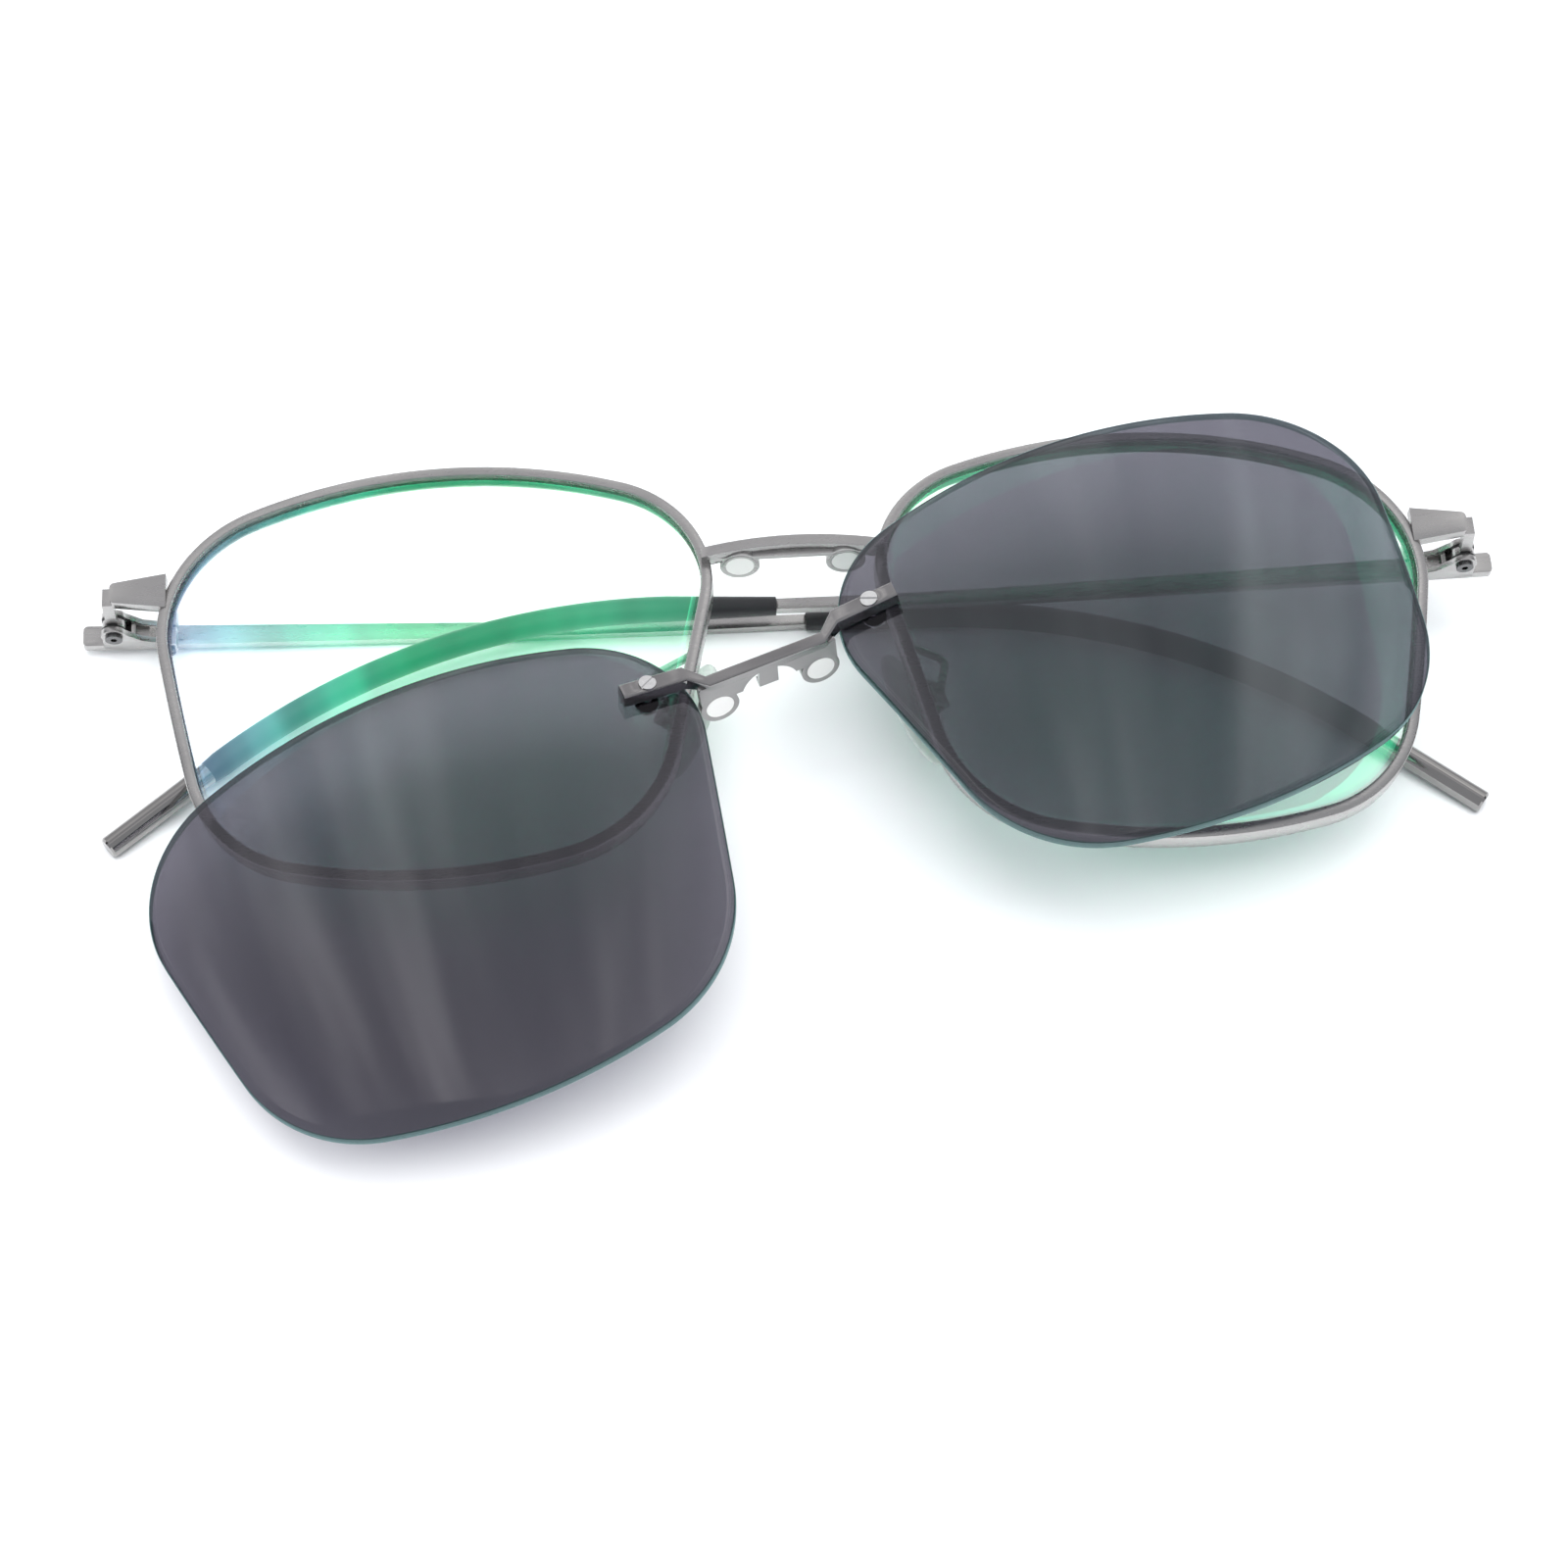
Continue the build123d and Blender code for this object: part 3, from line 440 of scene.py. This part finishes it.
def plastic(name, dark, light, rough, grain, height):
    """Plastic: two near-black shades in cloudy patches and a fine moulded grain."""
    made, tree, out = new_material(name)
    shader = tree.nodes.new("ShaderNodeBsdfPrincipled")
    tree.links.new(tint(tree, noise(tree, 300, 3), [dark, light]), shader.inputs["Base Color"])
    fine = noise(tree, grain, 2)
    tree.links.new(span(tree, fine, rough - 0.06, rough + 0.08), shader.inputs["Roughness"])
    tree.links.new(bump(tree, fine, 0.3, height), shader.inputs["Normal"])
    tree.links.new(shader.outputs["BSDF"], out.inputs["Surface"])
    return made


sleeve_black = plastic("sleeve_black", (0.012, 0.012, 0.014), (0.022, 0.022, 0.025), 0.42, 5200,
                       0.000006)
nylon_black = plastic("nylon_black", (0.01, 0.01, 0.01), (0.02, 0.02, 0.02), 0.5, 7000, 0.000004)

print("plastics:", sleeve_black.name, nylon_black.name)

# %% [markdown]
# A clear lens is nearly invisible over white and shows its coating over anything dark. So the
# shader lets light straight through and adds a coloured mirror on top that grows at grazing
# angles. The coating's colour drifts across the lens, from violet through blue to green. A coat
# that is added takes no light from what is behind it, so it fades out over white.

# %% Lens finishes


def lens_shader(name, through, mirror_colours, strength, grazing, drift, rough=0.0, added=False):
    """Straight transmission with a coloured mirror: its share is strength + grazing * Fresnel."""
    made, tree, out = new_material(name)
    clear = tree.nodes.new("ShaderNodeBsdfTransparent")
    tree.links.new(tint(tree, noise(tree, 25, 1), through), clear.inputs["Color"])
    mirror = tree.nodes.new("ShaderNodeBsdfGlossy")
    mirror.inputs["Roughness"].default_value = rough
    coords = tree.nodes.new("ShaderNodeTexCoord")
    split = tree.nodes.new("ShaderNodeSeparateXYZ")
    tree.links.new(coords.outputs["Object"], split.inputs["Vector"])
    wander = tree.nodes.new("ShaderNodeMath")
    wander.operation = "MULTIPLY_ADD"
    wander.inputs[1].default_value = 0.012
    tree.links.new(noise(tree, 30, 1), wander.inputs[0])
    tree.links.new(split.outputs["X"], wander.inputs[2])
    place = span(tree, wander.outputs[0], 0.0, 1.0, drift[0], drift[1])
    coat = tint(tree, place, mirror_colours)
    fresnel = tree.nodes.new("ShaderNodeFresnel")
    fresnel.inputs["IOR"].default_value = 1.5
    share = tree.nodes.new("ShaderNodeMath")
    share.operation = "MULTIPLY_ADD"
    share.inputs[1].default_value = grazing
    share.inputs[2].default_value = strength
    share.use_clamp = True
    tree.links.new(fresnel.outputs["Fac"], share.inputs[0])
    sides = tree.nodes.new("ShaderNodeNewGeometry")
    outside = span(tree, sides.outputs["Backfacing"], 1.0, 0.0, 0.0, 1.0)
    shown_share = tree.nodes.new("ShaderNodeMath")
    shown_share.operation = "MULTIPLY"
    tree.links.new(share.outputs[0], shown_share.inputs[0])
    tree.links.new(outside, shown_share.inputs[1])
    if added:
        scaled = tree.nodes.new("ShaderNodeVectorMath")
        scaled.operation = "SCALE"
        tree.links.new(coat, scaled.inputs[0])
        tree.links.new(shown_share.outputs[0], scaled.inputs["Scale"])
        tree.links.new(scaled.outputs["Vector"], mirror.inputs["Color"])
        both = tree.nodes.new("ShaderNodeAddShader")
        below, above = both.inputs
    else:
        tree.links.new(coat, mirror.inputs["Color"])
        both = tree.nodes.new("ShaderNodeMixShader")
        factor, below, above = both.inputs
        tree.links.new(shown_share.outputs[0], factor)
    tree.links.new(clear.outputs[0], below)
    tree.links.new(mirror.outputs[0], above)
    tree.links.new(both.outputs[0], out.inputs["Surface"])
    return made


clear_lens = lens_shader("coated_clear_lens", [(0.955, 0.965, 0.955), (0.975, 0.98, 0.975)],
                         [(0.62, 0.36, 0.95), (0.30, 0.55, 0.80), (0.10, 0.72, 0.52),
                          (0.03, 0.92, 0.38), (0.05, 0.95, 0.40), (0.10, 0.90, 0.45)],
                         0.50, 0.6, (-0.062, -0.012), added=True)
tinted_lens = lens_shader("grey_tinted_lens", [(0.32, 0.31, 0.35), (0.35, 0.34, 0.375)],
                          [(0.86, 0.84, 0.92), (0.92, 0.90, 0.95), (0.80, 0.86, 0.94)],
                          0.045, 1.1, (-0.06, 0.06), 0.03)
clear_edge = lens_shader("frosted_lens_edge", [(0.62, 0.60, 0.60), (0.72, 0.70, 0.70)],
                         [(0.9, 0.8, 0.8), (0.95, 0.9, 0.88)], 0.35, 0.6, (-0.06, 0.06), 0.3)
tinted_edge = lens_shader("teal_lens_edge", [(0.07, 0.11, 0.11), (0.11, 0.16, 0.16)],
                          [(0.35, 0.55, 0.55), (0.42, 0.6, 0.6)], 0.18, 0.8, (-0.06, 0.06), 0.18)
for label in ("left", "right"):
    for face, edge, name in ((clear_lens, clear_edge, label),
                             (tinted_lens, tinted_edge, "clip_" + label)):
        lenses[name].data.materials.append(face)
        lenses[name].data.materials.append(edge)
        print(name, "lens:", face.name, "with", edge.name)

# %% [markdown]
# Silicone lets light in and scatters it, so a pad is a milky clear body with a soft skin. A mix of
# straight transmission, soft diffusion and a weak gloss is quick and close.

# %% Silicone


def silicone_shader():
    """Clear silicone: mostly transparent, a third milky, a soft mirror that grows at the rim."""
    made, tree, out = new_material("clear_silicone")
    clear = tree.nodes.new("ShaderNodeBsdfTransparent")
    clear.inputs["Color"].default_value = (0.86, 0.89, 0.87, 1)
    body = tree.nodes.new("ShaderNodeBsdfPrincipled")
    cloudy = noise(tree, 420, 3)
    tree.links.new(tint(tree, cloudy, [(0.66, 0.70, 0.68), (0.80, 0.83, 0.80)]),
                   body.inputs["Base Color"])
    tree.links.new(span(tree, cloudy, 0.22, 0.38), body.inputs["Roughness"])
    facing = tree.nodes.new("ShaderNodeLayerWeight")
    facing.inputs["Blend"].default_value = 0.45
    mix = tree.nodes.new("ShaderNodeMixShader")
    tree.links.new(span(tree, facing.outputs["Facing"], 0.28, 0.8, 0.0, 1.0), mix.inputs[0])
    tree.links.new(clear.outputs[0], mix.inputs[1])
    tree.links.new(body.outputs[0], mix.inputs[2])
    tree.links.new(mix.outputs[0], out.inputs["Surface"])
    return made


silicone = silicone_shader()
finish = {"frame_metal": gunmetal, "polished_metal": polished, "clip_metal": clip_plate,
          "bright_screw": bright, "dark_screw": dark_screw, "magnet": nickel,
          "black_sleeve": sleeve_black, "black_nylon": nylon_black, "silicone": silicone}
slots = {s["node"]: s["material_slot"] for s in record["subparts"]}
for name in shown:
    mesh = frame["nodes"][name].data
    mesh.materials.clear()
    mesh.materials.append(finish[slots[name]])
for label in ("left", "right"):
    rims[label].data.materials.append(gunmetal)
    bpy.data.objects[f"{label}_silicone_pad"].data.materials.append(silicone)
print("finishes set on", len(shown), "CAD pieces")

# %% [markdown]
# The set stands in a white tent: a pale floor, a wide soft light overhead, and a flat glowing back
# wall whose bright and dim upright streaks are painted light and shade of the tent's folds, which
# the tinted lenses mirror as soft streaks. A few dark cards give the polished metal something dark
# to mirror, which is what makes it look like metal.

# %% Floor, wall and cards


def flat_shader(name, colours, scale, stretch, strength=None):
    """A matt sheet, or a glowing one of a given strength, whose tone wanders over its colours."""
    made, tree, out = new_material(name)
    wander = tint(tree, noise(tree, scale, 2, stretch), colours)
    if strength is None:
        shader = tree.nodes.new("ShaderNodeBsdfPrincipled")
        shader.inputs["Roughness"].default_value = 0.8
        tree.links.new(wander, shader.inputs["Base Color"])
    else:
        shader = tree.nodes.new("ShaderNodeEmission")
        shader.inputs["Strength"].default_value = strength
        tree.links.new(wander, shader.inputs["Color"])
    tree.links.new(shader.outputs[0], out.inputs["Surface"])
    return made


def card(name, centre, x_half, y_half, material):
    """A rectangle from its centre and two half-edge vectors."""
    c, x, y = (np.array(v, float) for v in (centre, x_half, y_half))
    points = np.array([c - x - y, c + x - y, c + x + y, c - x + y])
    made = add_mesh(name, points, [[0, 1, 2, 3]])
    made.data.materials.append(material)
    return made


floor_paint = flat_shader("pale_floor", [(0.86, 0.87, 0.89), (0.89, 0.90, 0.91)], 6, (1, 1, 1))
# A flat glowing sheet: its bright and dim upright streaks are painted light and shade of the tent's
# folds.
fold_light = flat_shader("glowing_tent_fold_streaks", [(0.12, 0.12, 0.14), (0.45, 0.45, 0.49), (0.75, 0.75, 0.78),
                                        (1.5, 1.5, 1.5), (2.6, 2.6, 2.55)], 2.1,
                         (2.6, 0.3, 0.3), 1.0)
dark_cloth = flat_shader("dark_card", [(0.02, 0.02, 0.02), (0.04, 0.04, 0.04)], 20, (1, 1, 1))
card("floor", (0, 0, 0), (3, 0, 0), (0, 3, 0), floor_paint)
card("tent_wall", (0, 0.62, 0.9), (1.4, 0, 0), (0, -0.62, 0.62), fold_light)
card("dark_left", (-0.75, 0.05, 0.16), (0, 0.25, 0), (0.02, 0, 0.14), dark_cloth)
card("dark_right", (0.75, 0.05, 0.16), (0, 0.25, 0), (-0.02, 0, 0.14), dark_cloth)
card("dark_front", (0, -0.75, 0.14), (0.35, 0, 0), (0, 0.02, 0.12), dark_cloth)


def soft_light(name, at, aim, size, power):
    """A square lamp at a place, turned so that it shines at a point."""
    lamp = bpy.data.lights.new(name, "AREA")
    lamp.size = size
    lamp.energy = power
    made = bpy.data.objects.new(name, lamp)
    bpy.context.scene.collection.objects.link(made)
    made.location = at
    away = np.array(at, float) - np.array(aim, float)
    made.rotation_euler = Vector(away).to_track_quat("Z", "Y").to_euler()
    made.visible_glossy = False
    return made


soft_light("overhead", (0.05, -0.1, 1.2), (0, 0, 0), 1.0, 17)
soft_light("left_fill", (-0.9, -0.2, 0.7), (0, 0, 0), 0.6, 5)
print("two lamps, both left out of mirror reflections")
world = bpy.data.worlds.new("tent")
bpy.context.scene.world = world
world.use_nodes = True
world.node_tree.nodes["Background"].inputs["Color"].default_value = (0.93, 0.95, 1.0, 1)
world.node_tree.nodes["Background"].inputs["Strength"].default_value = 0.62

# %% [markdown]
# The camera stands about 57 degrees above the table, a little to the left and close, so the near
# clip lens looks larger than the far rim. Its lens is long for so small an object.

# %% Camera
eye = bpy.data.cameras.new("eye")
eye.lens = 76.5
eye.sensor_width = 36.0
camera = bpy.data.objects.new("eye", eye)
bpy.context.scene.collection.objects.link(camera)
camera.location = (-0.02646, -0.17078, 0.27501)
camera.rotation_euler = np.radians((32.97, -2.829, -3.605))
bpy.context.scene.camera = camera
bpy.context.scene.view_settings.view_transform = "Standard"
print("camera", round(camera.location.length * 1000), "mm from the middle of the table")
